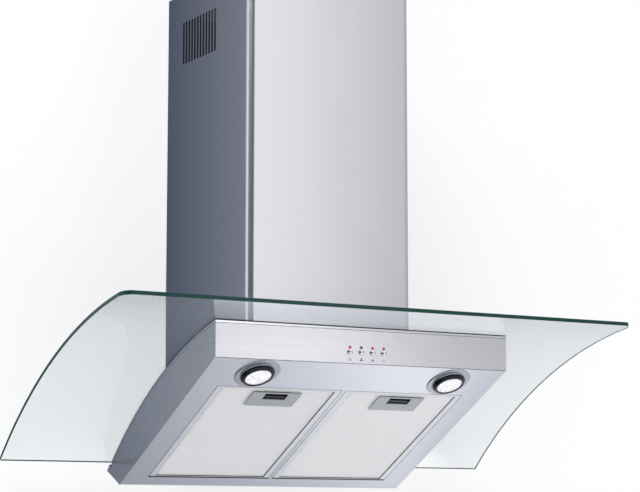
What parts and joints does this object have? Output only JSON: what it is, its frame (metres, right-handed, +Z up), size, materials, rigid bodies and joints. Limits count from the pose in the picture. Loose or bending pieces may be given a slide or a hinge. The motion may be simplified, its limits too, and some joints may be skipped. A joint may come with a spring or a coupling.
{
  "type": "range hood",
  "caption": "Wall-mounted kitchen extractor hood with a curved glass canopy, inclined underside with mesh grease filters and downlights, push buttons and telescopic chimney.",
  "frame": {"origin": "middle of the wall bracket's four bolt holes, on the wall plane", "axes": "+X to the cook's right, +Y into the wall, +Z up"},
  "size_m": [0.9, 0.485, 0.8225],
  "materials": {
    "canopy_glass": "clear float glass, polished edges",
    "stainless": "brushed stainless steel",
    "bright_trim": "polished chrome",
    "seal_rubber": "black soft strip",
    "filter_aluminium": "satin aluminium",
    "knitted_mesh": "knitted aluminium layers",
    "plate_grey": "satin grey",
    "zinc_steel": "galvanised steel",
    "black_plastic": "moulded black plastic",
    "white_plastic": "moulded white plastic",
    "motor_metal": "dark enamelled motor case",
    "lens_frosted": "frosted lamp glass",
    "bulb_glass": "clear halogen capsule",
    "lamp_ceramic": "unglazed lamp ceramic",
    "reflector_bright": "vapour-coated reflector",
    "pilot_red": "clear red lens",
    "board_green": "varnished circuit board"
  },
  "bodies": {
    "root": {"glass_canopy": "canopy_glass", "glass_seal": "seal_rubber", "rim_frame": "stainless", "top_deck": "zinc_steel", "fascia_panel": "stainless", "left_side_panel": "stainless", "right_side_panel": "stainless", "rear_panel": "stainless", "underside_frame": "stainless", "lamp_holders": "lamp_ceramic", "button_housing": "black_plastic", "micro_switches": "black_plastic", "pilot_lights": "pilot_red", "control_board": "board_green", "chimney_cover": "stainless", "flange_seal_strip": "seal_rubber", "clamping_flange": "zinc_steel", "canopy_screws": "bright_trim", "blower_box": "zinc_steel", "fan_motor": "motor_metal", "motor_bracket": "zinc_steel", "exhaust_collar": "black_plastic", "flap_pin": "bright_trim", "run_capacitor": "white_plastic", "terminal_box": "white_plastic", "lamp_transformer": "black_plastic", "mains_gland": "black_plastic", "wall_bracket": "zinc_steel", "bracket_bolts": "bright_trim", "lamp_trim_left": "bright_trim", "lamp_reflector_left": "reflector_bright", "lamp_lens_left": "lens_frosted", "lamp_bulb_left": "bulb_glass", "scroll_left_half": "black_plastic", "lamp_trim_right": "bright_trim", "lamp_reflector_right": "reflector_bright", "lamp_lens_right": "lens_frosted", "lamp_bulb_right": "bulb_glass", "scroll_right_half": "black_plastic"},
    "filter_left": {"filter_frame_left": "filter_aluminium", "filter_mesh_left": "filter_aluminium", "filter_pack_left": "knitted_mesh", "finger_plate_left": "plate_grey"},
    "filter_right": {"filter_frame_right": "filter_aluminium", "filter_mesh_right": "filter_aluminium", "filter_pack_right": "knitted_mesh", "finger_plate_right": "plate_grey"},
    "latch_left": {"filter_latch_left": "bright_trim"},
    "latch_right": {"filter_latch_right": "bright_trim"},
    "extension": {"chimney_extension": "stainless", "chimney_bracket": "zinc_steel"},
    "fan_wheel": {"impeller": "black_plastic", "motor_shaft": "bright_trim"},
    "front_flap": {"flap_front": "black_plastic"},
    "rear_flap": {"flap_rear": "black_plastic"},
    "press_fan_slow": {"button_fan_slow": "bright_trim"},
    "press_fan_fast": {"button_fan_fast": "bright_trim"},
    "press_light": {"button_light": "bright_trim"},
    "press_stop": {"button_stop": "bright_trim"}
  },
  "joints": [
    {"name": "filter_left_swing", "type": "hinge", "parent": "root", "child": "filter_left", "pos_m": [0, -0.09071, -0.36154], "axis": [1, 0, 0], "range_deg": [0, 75]},
    {"name": "latch_left_pull", "type": "slide", "parent": "filter_left", "child": "latch_left", "axis": [0, 0.878, -0.4787], "range_m": [0, 0.007], "stiffness_N_per_m": 300, "springref_m": -0.004},
    {"name": "filter_right_swing", "type": "hinge", "parent": "root", "child": "filter_right", "pos_m": [0, -0.09071, -0.36154], "axis": [1, 0, 0], "range_deg": [0, 75]},
    {"name": "latch_right_pull", "type": "slide", "parent": "filter_right", "child": "latch_right", "axis": [0, 0.878, -0.4787], "range_m": [0, 0.007], "stiffness_N_per_m": 300, "springref_m": -0.004},
    {"name": "extension_lift", "type": "slide", "parent": "root", "child": "extension", "axis": [0, 0, 1], "range_m": [0, 0.3]},
    {"name": "fan_spin", "type": "hinge", "parent": "root", "child": "fan_wheel", "pos_m": [0, -0.172, -0.075], "axis": [1, 0, 0], "continuous": true},
    {"name": "front_flap_swing", "type": "hinge", "parent": "root", "child": "front_flap", "pos_m": [0, -0.121, 0.07], "axis": [-1, 0, 0], "range_deg": [0, 75]},
    {"name": "rear_flap_swing", "type": "hinge", "parent": "root", "child": "rear_flap", "pos_m": [0, -0.121, 0.07], "axis": [1, 0, 0], "range_deg": [0, 75]},
    {"name": "fan_slow_press", "type": "slide", "parent": "root", "child": "press_fan_slow", "axis": [0, 1, 0], "range_m": [0, 0.002], "stiffness_N_per_m": 800, "springref_m": -0.0005},
    {"name": "fan_fast_press", "type": "slide", "parent": "root", "child": "press_fan_fast", "axis": [0, 1, 0], "range_m": [0, 0.002], "stiffness_N_per_m": 800, "springref_m": -0.0005},
    {"name": "light_press", "type": "slide", "parent": "root", "child": "press_light", "axis": [0, 1, 0], "range_m": [0, 0.002], "stiffness_N_per_m": 800, "springref_m": -0.0005},
    {"name": "stop_press", "type": "slide", "parent": "root", "child": "press_stop", "axis": [0, 1, 0], "range_m": [0, 0.002], "stiffness_N_per_m": 800, "springref_m": -0.0005}
  ]
}
